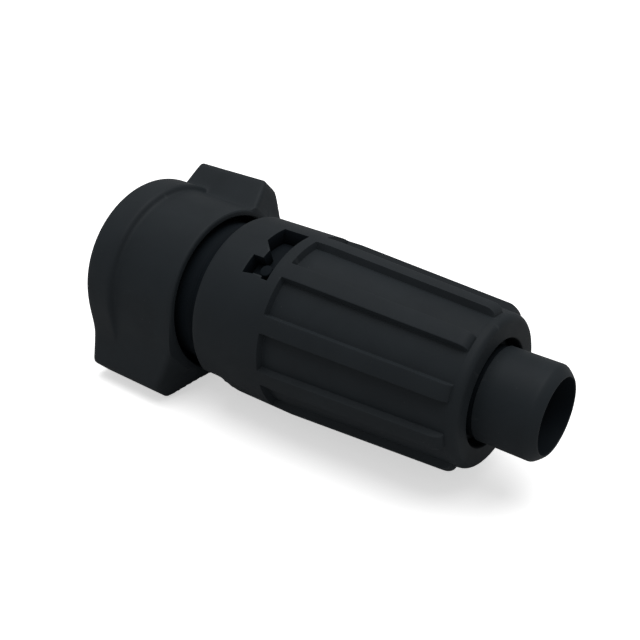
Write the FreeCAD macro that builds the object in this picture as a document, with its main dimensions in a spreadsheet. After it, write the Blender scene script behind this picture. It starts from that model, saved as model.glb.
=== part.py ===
import FreeCAD, Part
import math
import os
import Sketcher
from FreeCAD import Placement, Rotation, Vector

# A swivel-nut drip emitter for 16 mm drip line, lying along X.
# The water enters through the winged nut at the origin and leaves at the spigot towards +X.
# Angles about the X axis count from +Z, right-handed about +X, so +90 degrees faces -Y.

doc = FreeCAD.newDocument("drip_emitter")
sheet = doc.addObject("Spreadsheet::Sheet", "dims")

DRIVING = {
    # winged nut
    "nut_length": 21.1,
    "flange_radius": 17.4,
    "flange_length": 7.1,
    "flange_round": 1.8,
    "barrel_radius": 16.3,
    "rim_radius": 16.0,
    "rim_chamfer": 0.3,
    "thread_radius": 12.06,
    "thread_length": 7.5,
    "undercut_depth": 0.4,
    "socket_depth": 12.1,
    "web_thickness": 2.4,
    "skirt_radius": 14.8,
    "skirt_draft": 0.3,
    "wing_turn": -47.0,
    "wing_count": 2,
    "wing_tip_radius": 23.1,
    "wing_tip_width": 3.4,
    "wing_root_width": 18.6,
    "wing_root_height": 12.9,
    "wing_tip_length": 17.6,
    "wing_back_round": 2.6,
    "wing_front_round": 2.0,
    # clearances
    "running_clearance": 0.05,
    "end_float": 0.1,
    "sleeve_clearance": 0.2,
    # tail piece, washer and strainer
    "tail_flange_radius": 11.8,
    "tail_flange_thickness": 2.0,
    "tail_shank_radius": 10.5,
    "tail_length": 12.4,
    "tail_groove_start": 5.4,
    "tail_groove_width": 1.9,
    "tail_groove_depth": 1.4,
    "seat_orifice": 5.0,
    "seat_thickness": 2.2,
    "strainer_bore": 6.9,
    "ledge_bore": 7.6,
    "ledge_depth": 1.2,
    "washer_thickness": 2.4,
    "washer_radius": 11.7,
    "washer_hole": 7.9,
    "strainer_rim_hole": 5.6,
    "strainer_length": 7.8,
    "strainer_leg_radius": 6.5,
    "strainer_leg_width": 1.4,
    "strainer_leg_count": 3,
    "strainer_cap_thickness": 0.9,
    "mesh_radius": 5.9,
    "mesh_thickness": 0.3,
    # core body
    "neck_radius": 13.4,
    "neck_chamfer": 0.6,
    "core_shoulder": 39.5,
    "rear_barrel_radius": 11.2,
    "core_end": 72.5,
    "valve_bore": 8.9,
    "valve_bore_end": 32.0,
    "throat_radius": 8.2,
    "throat_end": 36.0,
    "insert_bore": 8.6,
    "insert_bore_end": 60.2,
    "gland_bore": 9.7,
    "pin_place": 37.2,
    "pin_turn": 33.0,
    "pin_head_radius": 1.1,
    "pin_head_height": 2.2,
    "pin_chamfer": 0.3,
    "pin_shank_radius": 0.8,
    "pin_shank_length": 2.0,
    # check valve
    "poppet_radius": 7.0,
    "poppet_thickness": 2.15,
    "stem_radius": 1.9,
    "stem_length": 8.1,
    "valve_seal_inner": 4.4,
    "valve_seal_outer": 6.4,
    "valve_seal_thickness": 1.05,
    "valve_seal_stand": 0.3,
    "carrier_thickness": 2.9,
    "carrier_hole_circle": 6.4,
    "carrier_hole_radius": 1.4,
    "carrier_hole_count": 6,
    "check_spring_radius": 4.2,
    "check_wire_width": 0.7,
    "check_spring_turns": 3,
    # labyrinth insert, diaphragm and cover
    "labyrinth_length": 20.0,
    "labyrinth_land": 2.2,
    "labyrinth_depth": 1.3,
    "labyrinth_rows": 3,
    "tooth_count": 10,
    "tooth_reach": 2.1,
    "tooth_width": 1.6,
    "tooth_tip_width": 0.5,
    "slot_width": 1.2,
    "diaphragm_seat_radius": 6.6,
    "diaphragm_seat_depth": 0.7,
    "diaphragm_radius": 8.3,
    "diaphragm_rim": 1.2,
    "diaphragm_web": 0.7,
    "diaphragm_rim_width": 1.4,
    "cover_hole_radius": 1.5,
    "cover_recess_radius": 6.6,
    "cover_recess_depth": 0.5,
    "cover_slot_depth": 0.5,
    "cover_slot_width": 0.8,
    # outlet tube, its seal and its bush
    "tube_radius": 8.0,
    "tube_shank_radius": 7.75,
    "tube_bore": 6.4,
    "tube_end": 87.5,
    "tube_bevel_length": 1.5,
    "tube_bevel_depth": 1.35,
    "tube_flange_thickness": 2.0,
    "lip_seal_length": 3.4,
    "lip_depth": 1.9,
    "lip_thickness": 0.5,
    "backup_length": 1.4,
    "bush_flange_thickness": 1.6,
    "bush_slot_width": 2.0,
    "bush_slot_count": 4,
    # locking sleeve
    "sleeve_start": 26.0,
    "sleeve_length": 51.0,
    "collar_radius": 16.1,
    "collar_round": 0.9,
    "collar_length": 15.0,
    "rib_level_length": 3.0,
    "rib_height": 1.25,
    "rib_end_gap": 0.7,
    "rib_end_radius": 14.3,
    "rib_end_round": 0.8,
    "rib_width": 10.8,
    "rib_turn": 29.0,
    "rib_count": 10,
    "nose_radius": 13.05,
    "nose_round": 1.0,
    "nose_hole": 9.15,
    "nose_thickness": 2.4,
    "spring_room_depth": 1.8,
    "spring_room_gap": 1.0,
    "spring_room_end": 52.0,
    "window_turn": 17.0,
    "window_left": 33.5,
    "window_right": 38.83,
    "window_half_width": 6.1,
    "window_foot_x": 37.5,
    "window_foot_edge": 5.6,
    "window_notch_x": 38.0,
    "catch_x": 35.6,
    "catch_edge": 2.5,
    "catch_ramp_edge": 0.56,
    "upper_pocket_edge": 1.56,
    "relief_turn": 138.0,
    "relief_radius": 15.15,
    "relief_length": 4.5,
    "relief_ramp": 1.5,
    "relief_half_width": 7.0,
    # latch spring and thrust ring
    "thrust_ring_thickness": 1.7,
    "latch_wire_width": 1.1,
    "latch_spring_turns": 3,
}

DERIVED = {
    "web_end": "=socket_depth + web_thickness",
    "undercut_radius": "=thread_radius + undercut_depth",
    "rim_front": "=nut_length - rim_chamfer",
    "rim_front_radius": "=rim_radius - rim_chamfer",
    "skirt_root_radius": "=skirt_radius - skirt_draft",
    "swivel_hole": "=tail_shank_radius + running_clearance",
    "wing_tip_half": "=wing_tip_width / 2",
    "wing_root_half": "=wing_root_width / 2",
    "wing_plane_turn": "=wing_turn + 90",
    "tail_flange_back": "=socket_depth - end_float",
    "tail_flange_front": "=tail_flange_back - tail_flange_thickness",
    "tail_end": "=tail_flange_front + tail_length",
    "tail_groove_front": "=tail_flange_back + tail_groove_start",
    "tail_groove_back": "=tail_groove_front + tail_groove_width",
    "tail_groove_radius": "=tail_shank_radius - tail_groove_depth",
    "seat_front": "=tail_end - seat_thickness",
    "ledge_end": "=tail_flange_front + ledge_depth",
    "washer_front": "=tail_flange_front - washer_thickness",
    "strainer_rim_radius": "=ledge_bore - running_clearance",
    "strainer_end": "=tail_flange_front + strainer_length",
    "strainer_cap_front": "=strainer_end - strainer_cap_thickness",
    "strainer_leg_half": "=strainer_leg_width / 2",
    "mesh_inner": "=mesh_radius - mesh_thickness",
    "mesh_outer": "=mesh_radius - running_clearance",
    "core_front": "=web_end + end_float",
    "neck_front_radius": "=neck_radius - neck_chamfer",
    "neck_chamfer_end": "=core_front + neck_chamfer",
    "core_socket_radius": "=tail_shank_radius + running_clearance",
    "core_socket_end": "=tail_end + sleeve_clearance",
    "tail_seal_front": "=tail_groove_front + running_clearance",
    "tail_seal_back": "=tail_groove_back - running_clearance",
    "tail_seal_inner": "=tail_groove_radius + running_clearance / 2",
    "tail_seal_outer": "=core_socket_radius - running_clearance / 2",
    "nose_back": "=sleeve_start + sleeve_length - nose_thickness",
    "bush_flange_front": "=core_end + running_clearance",
    "bush_back": "=bush_flange_front + bush_flange_thickness",
    "bush_flange_radius": "=rear_barrel_radius - 2 * running_clearance",
    "pin_hole_radius": "=pin_shank_radius + running_clearance",
    "pin_hole_depth": "=pin_shank_length + end_float",
    "pin_shank_foot": "=neck_radius - pin_shank_length",
    "pin_shank_height": "=pin_shank_length + running_clearance",
    "pin_head_foot": "=neck_radius + running_clearance",
    "valve_seal_front": "=tail_end + running_clearance",
    "valve_seal_back": "=valve_seal_front + valve_seal_thickness",
    "poppet_front": "=valve_seal_front + valve_seal_stand",
    "poppet_back": "=poppet_front + poppet_thickness",
    "poppet_recess_back": "=valve_seal_back + running_clearance",
    "poppet_recess_inner": "=valve_seal_inner - running_clearance",
    "poppet_recess_outer": "=valve_seal_outer + running_clearance",
    "stem_end": "=poppet_back + stem_length",
    "carrier_front": "=valve_bore_end - carrier_thickness",
    "carrier_radius": "=valve_bore - running_clearance",
    "carrier_bore": "=stem_radius + running_clearance",
    "check_wire_half": "=check_wire_width / 2",
    "check_spring_start": "=poppet_back + check_wire_half + running_clearance",
    "check_spring_length": "=carrier_front - poppet_back - check_wire_width - 2 * running_clearance",
    "check_spring_pitch": "=check_spring_length / check_spring_turns",
    "labyrinth_end": "=throat_end + labyrinth_length",
    "insert_radius": "=insert_bore - running_clearance",
    "labyrinth_floor": "=insert_radius - labyrinth_depth",
    "row_pitch": "=(labyrinth_length - labyrinth_land) / labyrinth_rows",
    "row_width": "=row_pitch - labyrinth_land",
    "tooth_half": "=tooth_width / 2",
    "tooth_tip_half": "=tooth_tip_width / 2",
    "tooth_foot": "=labyrinth_floor - labyrinth_depth / 2",
    "tooth_height": "=insert_radius - tooth_foot",
    "slot_half": "=slot_width / 2",
    "half_tooth_turn": "=180 / tooth_count",
    "slot_turn": "=half_tooth_turn / 2",
    "far_slot_turn": "=slot_turn + 180",
    "diaphragm_seat_x": "=labyrinth_end - diaphragm_seat_depth",
    "diaphragm_front": "=labyrinth_end + running_clearance",
    "diaphragm_back": "=diaphragm_front + diaphragm_rim",
    "diaphragm_inner": "=diaphragm_radius - diaphragm_rim_width",
    "diaphragm_web_front": "=(diaphragm_front + diaphragm_back - diaphragm_web) / 2",
    "diaphragm_web_back": "=diaphragm_web_front + diaphragm_web",
    "cover_front": "=diaphragm_back + running_clearance",
    "cover_back": "=insert_bore_end - running_clearance",
    "cover_recess_x": "=cover_front + cover_recess_depth",
    "cover_slot_half": "=cover_slot_width / 2",
    "cover_slot_length": "=cover_recess_depth + cover_slot_depth",
    "tube_flange_front": "=insert_bore_end + running_clearance",
    "tube_flange_back": "=tube_flange_front + tube_flange_thickness",
    "tube_flange_radius": "=gland_bore - running_clearance",
    "tube_bevel_x": "=tube_end - tube_bevel_length",
    "tube_tip_radius": "=tube_radius - tube_bevel_depth",
    "lip_front": "=tube_flange_back + running_clearance",
    "lip_back": "=lip_front + lip_seal_length",
    "lip_root_x": "=lip_front + lip_depth",
    "lip_inner": "=tube_shank_radius + running_clearance",
    "lip_outer": "=gland_bore - running_clearance",
    "lip_inner_tip": "=lip_inner + lip_thickness / 2",
    "lip_outer_tip": "=lip_outer - lip_thickness / 2",
    "lip_inner_root": "=lip_inner + lip_thickness",
    "lip_outer_root": "=lip_outer - lip_thickness",
    "backup_front": "=lip_back + running_clearance",
    "backup_back": "=backup_front + backup_length",
    "bush_front": "=backup_back + running_clearance",
    "bush_slot_half": "=bush_slot_width / 2",
    "bush_bore": "=tube_shank_radius + running_clearance",
    "bush_radius": "=gland_bore - running_clearance",
    "sleeve_end": "=sleeve_start + sleeve_length",
    "spigot_start": "=sleeve_end + running_clearance",
    "sleeve_bore": "=neck_radius + sleeve_clearance",
    "rear_sleeve_bore": "=rear_barrel_radius + sleeve_clearance",
    "collar_end": "=sleeve_start + collar_length",
    "taper_start": "=collar_end + rib_level_length",
    "floor_radius": "=collar_radius - rib_height",
    "rib_plane_turn": "=rib_turn + 90",
    "rib_start": "=collar_end - rib_height",
    "rib_end": "=sleeve_end - rib_end_gap",
    "rib_root_radius": "=floor_radius - rib_height / 2",
    "rib_root_end_radius": "=nose_radius - rib_height / 2",
    "relief_plane_turn": "=relief_turn + 90",
    "relief_end": "=sleeve_start + relief_length",
    "relief_ramp_end": "=relief_end + relief_ramp * collar_radius / relief_radius",
    "relief_width": "=2 * relief_half_width",
    "spring_room_start": "=core_shoulder + spring_room_gap",
    "spring_room_radius": "=rear_barrel_radius + spring_room_depth",
    "thrust_ring_back": "=spring_room_end - running_clearance",
    "thrust_ring_front": "=thrust_ring_back - thrust_ring_thickness",
    "thrust_ring_inner": "=rear_barrel_radius + running_clearance",
    "thrust_ring_outer": "=spring_room_radius - running_clearance",
    "latch_wire_half": "=latch_wire_width / 2",
    "latch_spring_radius": "=(rear_barrel_radius + spring_room_radius) / 2",
    "latch_spring_start": "=core_shoulder + latch_wire_half + running_clearance",
    "latch_spring_length": "=thrust_ring_front - core_shoulder - latch_wire_width - 2 * running_clearance",
    "latch_spring_pitch": "=latch_spring_length / latch_spring_turns",
}

ROWS = DRIVING["labyrinth_rows"]
for row in range(ROWS):
    DERIVED["row_start_%d" % row] = "=throat_end + labyrinth_land + %d * row_pitch" % row
    DERIVED["row_stop_%d" % row] = "=row_start_%d + row_width" % row
    DERIVED["start_tip_%d" % row] = "=row_start_%d + tooth_reach" % row
    DERIVED["stop_tip_%d" % row] = "=row_stop_%d - tooth_reach" % row
for land in range(ROWS + 1):
    DERIVED["land_start_%d" % land] = "=row_stop_%d" % (land - 1) if land else "=throat_end"
    DERIVED["land_stop_%d" % land] = "=row_start_%d" % land if land < ROWS else "=labyrinth_end"

for row, (name, value) in enumerate(list(DRIVING.items()) + list(DERIVED.items()), start=1):
    sheet.set("A%d" % row, name)
    sheet.set("B%d" % row, str(value))
    sheet.setAlias("B%d" % row, name)
doc.recompute()

FULL_TURN = 360.0
HORIZONTAL_AXIS = -1
VERTICAL_AXIS = -2
ORIGIN_POINT = (-1, 1)
START, END, CENTRE = range(1, 4)


def size(name):
    """Value of a sheet cell; a leading minus sign turns it round."""
    if name == "0":
        return 0.0
    if name.startswith("-"):
        return -float(sheet.get(name[1:]))
    return float(sheet.get(name))


def cell(name):
    """The same value as an expression."""
    if name.startswith("-"):
        return "-dims." + name[1:]
    return "dims." + name


def new_body(label):
    body = doc.addObject("PartDesign::Body", label)
    body.Label = label
    return body


def origin_feature(body, role):
    for feature in body.Origin.OriginFeatures:
        if feature.Role == role:
            return feature
    raise ValueError(role)


def new_sketch(body, name, plane="XY_Plane", turn=None, lift=None):
    """Sketch on an origin plane, turned about X and lifted along its normal."""
    sketch = body.newObject("Sketcher::SketchObject", name)
    sketch.AttachmentSupport = [(origin_feature(body, plane), "")]
    sketch.MapMode = "FlatFace"
    spin_axis = Vector(0, 0, 1) if plane == "YZ_Plane" else Vector(1, 0, 0)
    spin = Rotation(spin_axis, size(turn) if turn else 0.0)
    rise = size(lift) if lift else 0.0
    place = spin.multVec(Vector(0, 0, rise))
    sketch.AttachmentOffset = Placement(place, spin)
    if turn:
        sketch.setExpression(".AttachmentOffset.Rotation.Angle", cell(turn))
    if lift and turn:
        sketch.setExpression(".AttachmentOffset.Base.y", "-%s * sin(%s * 1 deg)" % (cell(lift), cell(turn)))
        sketch.setExpression(".AttachmentOffset.Base.z", "%s * cos(%s * 1 deg)" % (cell(lift), cell(turn)))
    elif lift:
        sketch.setExpression(".AttachmentOffset.Base.z", cell(lift))
    return sketch


def pin_down(sketch, geometry, point, across, up):
    """Fix a point of the sketch at two sizes of the sheet."""
    if across == "0":
        sketch.addConstraint(Sketcher.Constraint("PointOnObject", geometry, point, VERTICAL_AXIS))
    else:
        fixed = Sketcher.Constraint("DistanceX", *ORIGIN_POINT, geometry, point, size(across))
        sketch.setExpression("Constraints[%d]" % sketch.addConstraint(fixed), cell(across))
    if up == "0":
        sketch.addConstraint(Sketcher.Constraint("PointOnObject", geometry, point, HORIZONTAL_AXIS))
    else:
        fixed = Sketcher.Constraint("DistanceY", *ORIGIN_POINT, geometry, point, size(up))
        sketch.setExpression("Constraints[%d]" % sketch.addConstraint(fixed), cell(up))


def corner_arc(before, corner, after, radius):
    """Arc that rounds a corner: its entry point, its exit point and its curve."""
    back = (before - corner).normalize()
    ahead = (after - corner).normalize()
    half_angle = back.getAngle(ahead) / 2
    reach = radius / math.tan(half_angle)
    entry = corner + back * reach
    leave = corner + ahead * reach
    centre = corner + (back + ahead).normalize() * (radius / math.sin(half_angle))
    middle = centre + (corner - centre).normalize() * radius
    return entry, leave, Part.Arc(entry, middle, leave)


def outline(sketch, corners):
    """Closed profile through corners (across, up) or (across, up, round)."""
    count = len(corners)
    points = [Vector(size(corner[0]), size(corner[1]), 0) for corner in corners]
    entries = list(points)
    leaves = list(points)
    arcs = {}
    for index, corner in enumerate(corners):
        if len(corner) == 3:
            found = corner_arc(points[index - 1], points[index], points[(index + 1) % count], size(corner[2]))
            entries[index], leaves[index], arcs[index] = found
    lines = []
    for index in range(count):
        segment = Part.LineSegment(leaves[index], entries[(index + 1) % count])
        lines.append(sketch.addGeometry(segment, False))
    for index, corner in enumerate(corners):
        before, after = lines[index - 1], lines[index]
        if index not in arcs:
            sketch.addConstraint(Sketcher.Constraint("Coincident", before, END, after, START))
            pin_down(sketch, after, START, corner[0], corner[1])
            continue
        arc = sketch.addGeometry(arcs[index], False)
        starts_at_entry = sketch.getPoint(arc, START).isEqual(entries[index], 1e-6)
        arc_in, arc_out = (START, END) if starts_at_entry else (END, START)
        sketch.addConstraint(Sketcher.Constraint("Tangent", before, END, arc, arc_in))
        sketch.addConstraint(Sketcher.Constraint("Tangent", arc, arc_out, after, START))
        rounding = Sketcher.Constraint("Radius", arc, size(corner[2]))
        sketch.setExpression("Constraints[%d]" % sketch.addConstraint(rounding), cell(corner[2]))
        mark = sketch.addGeometry(Part.Point(points[index]), True)
        sketch.addConstraint(Sketcher.Constraint("PointOnObject", mark, START, before))
        sketch.addConstraint(Sketcher.Constraint("PointOnObject", mark, START, after))
        pin_down(sketch, mark, START, corner[0], corner[1])


def circle(sketch, across, up, radius):
    centre = Vector(size(across), size(up), 0)
    drawn = sketch.addGeometry(Part.Circle(centre, Vector(0, 0, 1), size(radius)), False)
    pin_down(sketch, drawn, CENTRE, across, up)
    fixed = Sketcher.Constraint("Radius", drawn, size(radius))
    sketch.setExpression("Constraints[%d]" % sketch.addConstraint(fixed), cell(radius))


def revolve(body, name, corners, kind="Revolution", turn=None, sweep=None):
    """Turn a profile about the X axis, all the way round or over a sector centred on its plane."""
    sketch = new_sketch(body, name + "_profile", turn=turn)
    outline(sketch, corners)
    feature = body.newObject("PartDesign::" + kind, name)
    feature.Profile = sketch
    feature.ReferenceAxis = (sketch, ["H_Axis"])
    feature.Angle = FULL_TURN
    if sweep:
        feature.Midplane = True
        feature.setExpression("Angle", cell(sweep))
    doc.recompute()
    return feature


def extrude(body, name, sketch, length, kind="Pad", reverse=False, both_ways=False):
    feature = body.newObject("PartDesign::" + kind, name)
    feature.Profile = sketch
    feature.setExpression("Length", cell(length))
    feature.Reversed = reverse
    feature.Midplane = both_ways
    doc.recompute()
    return feature


def around(body, name, features, count):
    """Repeat features evenly about the X axis."""
    pattern = body.newObject("PartDesign::PolarPattern", name)
    pattern.Originals = features
    pattern.Axis = (origin_feature(body, "X_Axis"), [""])
    pattern.Angle = FULL_TURN
    pattern.setExpression("Occurrences", cell(count))
    body.Tip = pattern
    doc.recompute()
    return pattern


def turned_piece(label, corners):
    body = new_body(label)
    revolve(body, label + "_turned", corners)
    return body


def coil(label, wire_half, radius, start, length, pitch):
    """Square-wire compression spring about the X axis."""
    helix = doc.addObject("Part::Helix", label + "_path")
    helix.setExpression("Radius", cell(radius))
    helix.setExpression("Height", cell(length))
    helix.setExpression("Pitch", cell(pitch))
    wire = doc.addObject("Part::Plane", label + "_wire")
    wire.setExpression("Length", "2 * " + cell(wire_half))
    wire.setExpression("Width", "2 * " + cell(wire_half))
    wire.Placement = Placement(Vector(0, 0, 0), Rotation(Vector(1, 0, 0), 90))
    wire.setExpression(".Placement.Base.x", "%s - %s" % (cell(radius), cell(wire_half)))
    wire.setExpression(".Placement.Base.z", "-" + cell(wire_half))
    doc.recompute()
    spring = doc.addObject("Part::Sweep", label)
    spring.Sections = [wire]
    spring.Spine = (helix, ["Edge%d" % (edge + 1) for edge in range(len(helix.Shape.Edges))])
    spring.Solid = True
    spring.Frenet = True
    spring.Label = label
    spring.Placement = Placement(Vector(0, 0, 0), Rotation(Vector(0, 1, 0), 90))
    spring.setExpression(".Placement.Base.x", cell(start))
    doc.recompute()
    return spring


def winged_nut():
    """Nut that the fingers turn: two wings on a flanged barrel, hose thread inside."""
    body = new_body("winged_nut")
    wing = new_sketch(body, "wing_outline", turn="wing_plane_turn")
    outline(wing, [
        ("0", "0"),
        ("nut_length", "0"),
        ("nut_length", "wing_root_height"),
        ("rim_front", "rim_front_radius"),
        ("wing_tip_length", "wing_tip_radius", "wing_front_round"),
        ("0", "wing_tip_radius", "wing_back_round"),
    ])
    block = extrude(body, "wing_block", wing, "wing_root_width", both_ways=True)
    flanks = []
    for side in ("", "-"):
        name = "left_flank" if side else "right_flank"
        flank = new_sketch(body, name, "YZ_Plane", turn="wing_turn")
        outline(flank, [
            (side + "wing_tip_half", "wing_tip_radius"),
            (side + "wing_root_half", "wing_root_height"),
            (side + "wing_root_half", "wing_tip_radius"),
        ])
        flanks.append(extrude(body, name + "_cut", flank, "nut_length", "Pocket", reverse=True))
    around(body, "wing_pair", [block] + flanks, "wing_count")
    revolve(body, "nut_barrel", [
        ("0", "0"),
        ("0", "flange_radius", "flange_round"),
        ("flange_length", "flange_radius"),
        ("flange_length", "barrel_radius"),
        ("rim_front", "rim_radius"),
        ("nut_length", "rim_front_radius"),
        ("nut_length", "0"),
    ])
    revolve(body, "nut_cavity", [
        ("0", "0"),
        ("0", "thread_radius"),
        ("thread_length", "thread_radius"),
        ("thread_length", "undercut_radius"),
        ("socket_depth", "undercut_radius"),
        ("socket_depth", "swivel_hole"),
        ("web_end", "swivel_hole"),
        ("web_end", "skirt_root_radius"),
        ("nut_length", "skirt_radius"),
        ("nut_length", "0"),
    ], kind="Groove")
    return body


def tail_piece():
    """Flanged tube that the nut pulls against the hose tap; its far end is the valve seat."""
    return turned_piece("tail_piece", [
        ("tail_flange_front", "ledge_bore"),
        ("tail_flange_front", "tail_flange_radius"),
        ("tail_flange_back", "tail_flange_radius"),
        ("tail_flange_back", "tail_shank_radius"),
        ("tail_groove_front", "tail_shank_radius"),
        ("tail_groove_front", "tail_groove_radius"),
        ("tail_groove_back", "tail_groove_radius"),
        ("tail_groove_back", "tail_shank_radius"),
        ("tail_end", "tail_shank_radius"),
        ("tail_end", "seat_orifice"),
        ("seat_front", "seat_orifice"),
        ("seat_front", "strainer_bore"),
        ("ledge_end", "strainer_bore"),
        ("ledge_end", "ledge_bore"),
    ])


def strainer_frame():
    """Thimble frame: a rim on the tail piece's ledge, legs and an end cap."""
    body = new_body("strainer_frame")
    revolve(body, "strainer_rim", [
        ("tail_flange_front", "strainer_rim_hole"),
        ("tail_flange_front", "strainer_rim_radius"),
        ("ledge_end", "strainer_rim_radius"),
        ("ledge_end", "strainer_rim_hole"),
    ])
    leg = new_sketch(body, "leg_outline", "YZ_Plane", lift="tail_flange_front")
    outline(leg, [
        ("-strainer_leg_half", "mesh_radius"),
        ("strainer_leg_half", "mesh_radius"),
        ("strainer_leg_half", "strainer_leg_radius"),
        ("-strainer_leg_half", "strainer_leg_radius"),
    ])
    one_leg = extrude(body, "leg", leg, "strainer_length")
    around(body, "legs", [one_leg], "strainer_leg_count")
    revolve(body, "strainer_cap", [
        ("strainer_cap_front", "0"),
        ("strainer_cap_front", "strainer_leg_radius"),
        ("strainer_end", "strainer_leg_radius"),
        ("strainer_end", "0"),
    ])
    return body


def core_body():
    """Main moulding: neck, selector barrel, spring barrel and all the bores."""
    body = new_body("core_body")
    revolve(body, "core_turned", [
        ("core_front", "core_socket_radius"),
        ("core_front", "neck_front_radius"),
        ("neck_chamfer_end", "neck_radius"),
        ("core_shoulder", "neck_radius"),
        ("core_shoulder", "rear_barrel_radius"),
        ("core_end", "rear_barrel_radius"),
        ("core_end", "gland_bore"),
        ("insert_bore_end", "gland_bore"),
        ("insert_bore_end", "insert_bore"),
        ("throat_end", "insert_bore"),
        ("throat_end", "throat_radius"),
        ("valve_bore_end", "throat_radius"),
        ("valve_bore_end", "valve_bore"),
        ("core_socket_end", "valve_bore"),
        ("core_socket_end", "core_socket_radius"),
    ])
    hole = new_sketch(body, "pin_hole_outline", turn="pin_turn", lift="neck_radius")
    circle(hole, "pin_place", "0", "pin_hole_radius")
    extrude(body, "pin_hole", hole, "pin_hole_depth", "Pocket")
    return body


def latch_pin():
    """Headed pin pressed into the barrel through the sleeve's window."""
    body = new_body("latch_pin")
    shank = new_sketch(body, "pin_shank_outline", turn="pin_turn", lift="pin_shank_foot")
    circle(shank, "pin_place", "0", "pin_shank_radius")
    extrude(body, "pin_shank", shank, "pin_shank_height")
    head = new_sketch(body, "pin_head_outline", turn="pin_turn", lift="pin_head_foot")
    circle(head, "pin_place", "0", "pin_head_radius")
    pad = extrude(body, "pin_head", head, "pin_head_height")
    top = max(range(len(pad.Shape.Faces)), key=lambda index: facing(pad.Shape.Faces[index], "pin_turn"))
    chamfer = body.newObject("PartDesign::Chamfer", "pin_head_chamfer")
    chamfer.Base = (pad, ["Face%d" % (top + 1)])
    chamfer.setExpression("Size", cell("pin_chamfer"))
    body.Tip = chamfer
    doc.recompute()
    return body


def facing(face, turn):
    """How far a face's centre lies out along the direction of an angle about X."""
    angle = math.radians(size(turn))
    centre = face.CenterOfMass
    return centre.z * math.cos(angle) - centre.y * math.sin(angle)


def check_poppet():
    """Valve disc with a groove for its rubber ring and a guide stem."""
    return turned_piece("check_poppet", [
        ("poppet_front", "0"),
        ("poppet_front", "poppet_recess_inner"),
        ("poppet_recess_back", "poppet_recess_inner"),
        ("poppet_recess_back", "poppet_recess_outer"),
        ("poppet_front", "poppet_recess_outer"),
        ("poppet_front", "poppet_radius"),
        ("poppet_back", "poppet_radius"),
        ("poppet_back", "stem_radius"),
        ("stem_end", "stem_radius"),
        ("stem_end", "0"),
    ])


def spring_carrier():
    """Perforated disc that guides the stem and backs the check spring."""
    body = new_body("spring_carrier")
    revolve(body, "carrier_turned", [
        ("carrier_front", "carrier_bore"),
        ("carrier_front", "carrier_radius"),
        ("valve_bore_end", "carrier_radius"),
        ("valve_bore_end", "carrier_bore"),
    ])
    hole = new_sketch(body, "carrier_hole_outline", "YZ_Plane", lift="carrier_front")
    circle(hole, "0", "carrier_hole_circle", "carrier_hole_radius")
    one_hole = extrude(body, "carrier_hole", hole, "carrier_thickness", "Pocket", reverse=True)
    around(body, "carrier_holes", [one_hole], "carrier_hole_count")
    return body


def labyrinth_core():
    """Turbulent-flow insert: rows of interlocking teeth in ring channels, joined by slots."""
    body = new_body("labyrinth_core")
    corners = [("throat_end", "0"), ("throat_end", "insert_radius")]
    for row in range(ROWS):
        corners += [
            ("row_start_%d" % row, "insert_radius"),
            ("row_start_%d" % row, "labyrinth_floor"),
            ("row_stop_%d" % row, "labyrinth_floor"),
            ("row_stop_%d" % row, "insert_radius"),
        ]
    corners += [
        ("labyrinth_end", "insert_radius"),
        ("labyrinth_end", "diaphragm_seat_radius"),
        ("diaphragm_seat_x", "diaphragm_seat_radius"),
        ("diaphragm_seat_x", "0"),
    ]
    revolve(body, "insert_turned", corners)
    for row in range(ROWS):
        for wall, turn in (("start", None), ("stop", "half_tooth_turn")):
            name = "%s_teeth_%d" % (wall, row)
            tooth = new_sketch(body, name + "_outline", turn=turn, lift="tooth_foot")
            outline(tooth, [
                ("row_%s_%d" % (wall, row), "-tooth_half"),
                ("%s_tip_%d" % (wall, row), "-tooth_tip_half"),
                ("%s_tip_%d" % (wall, row), "tooth_tip_half"),
                ("row_%s_%d" % (wall, row), "tooth_half"),
            ])
            one_tooth = extrude(body, name + "_one", tooth, "tooth_height")
            around(body, name, [one_tooth], "tooth_count")
    for land in range(ROWS + 1):
        turn = "slot_turn" if land % 2 == 0 else "far_slot_turn"
        slot = new_sketch(body, "slot_outline_%d" % land, turn=turn, lift="labyrinth_floor")
        outline(slot, [
            ("land_start_%d" % land, "-slot_half"),
            ("land_stop_%d" % land, "-slot_half"),
            ("land_stop_%d" % land, "slot_half"),
            ("land_start_%d" % land, "slot_half"),
        ])
        extrude(body, "slot_%d" % land, slot, "tooth_height", "Pocket", reverse=True)
    return body


def diaphragm_cover():
    """Cap over the diaphragm: the rubber closes on its slotted seat as pressure rises."""
    body = new_body("diaphragm_cover")
    revolve(body, "cover_turned", [
        ("cover_front", "insert_radius"),
        ("cover_back", "insert_radius"),
        ("cover_back", "cover_hole_radius"),
        ("cover_recess_x", "cover_hole_radius"),
        ("cover_recess_x", "cover_recess_radius"),
        ("cover_front", "cover_recess_radius"),
    ])
    slot = new_sketch(body, "cover_slot_outline", "YZ_Plane", lift="cover_front")
    outline(slot, [
        ("-cover_slot_half", "0"),
        ("cover_slot_half", "0"),
        ("cover_slot_half", "diaphragm_inner"),
        ("-cover_slot_half", "diaphragm_inner"),
    ])
    extrude(body, "cover_slot", slot, "cover_slot_length", "Pocket", reverse=True)
    return body


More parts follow.
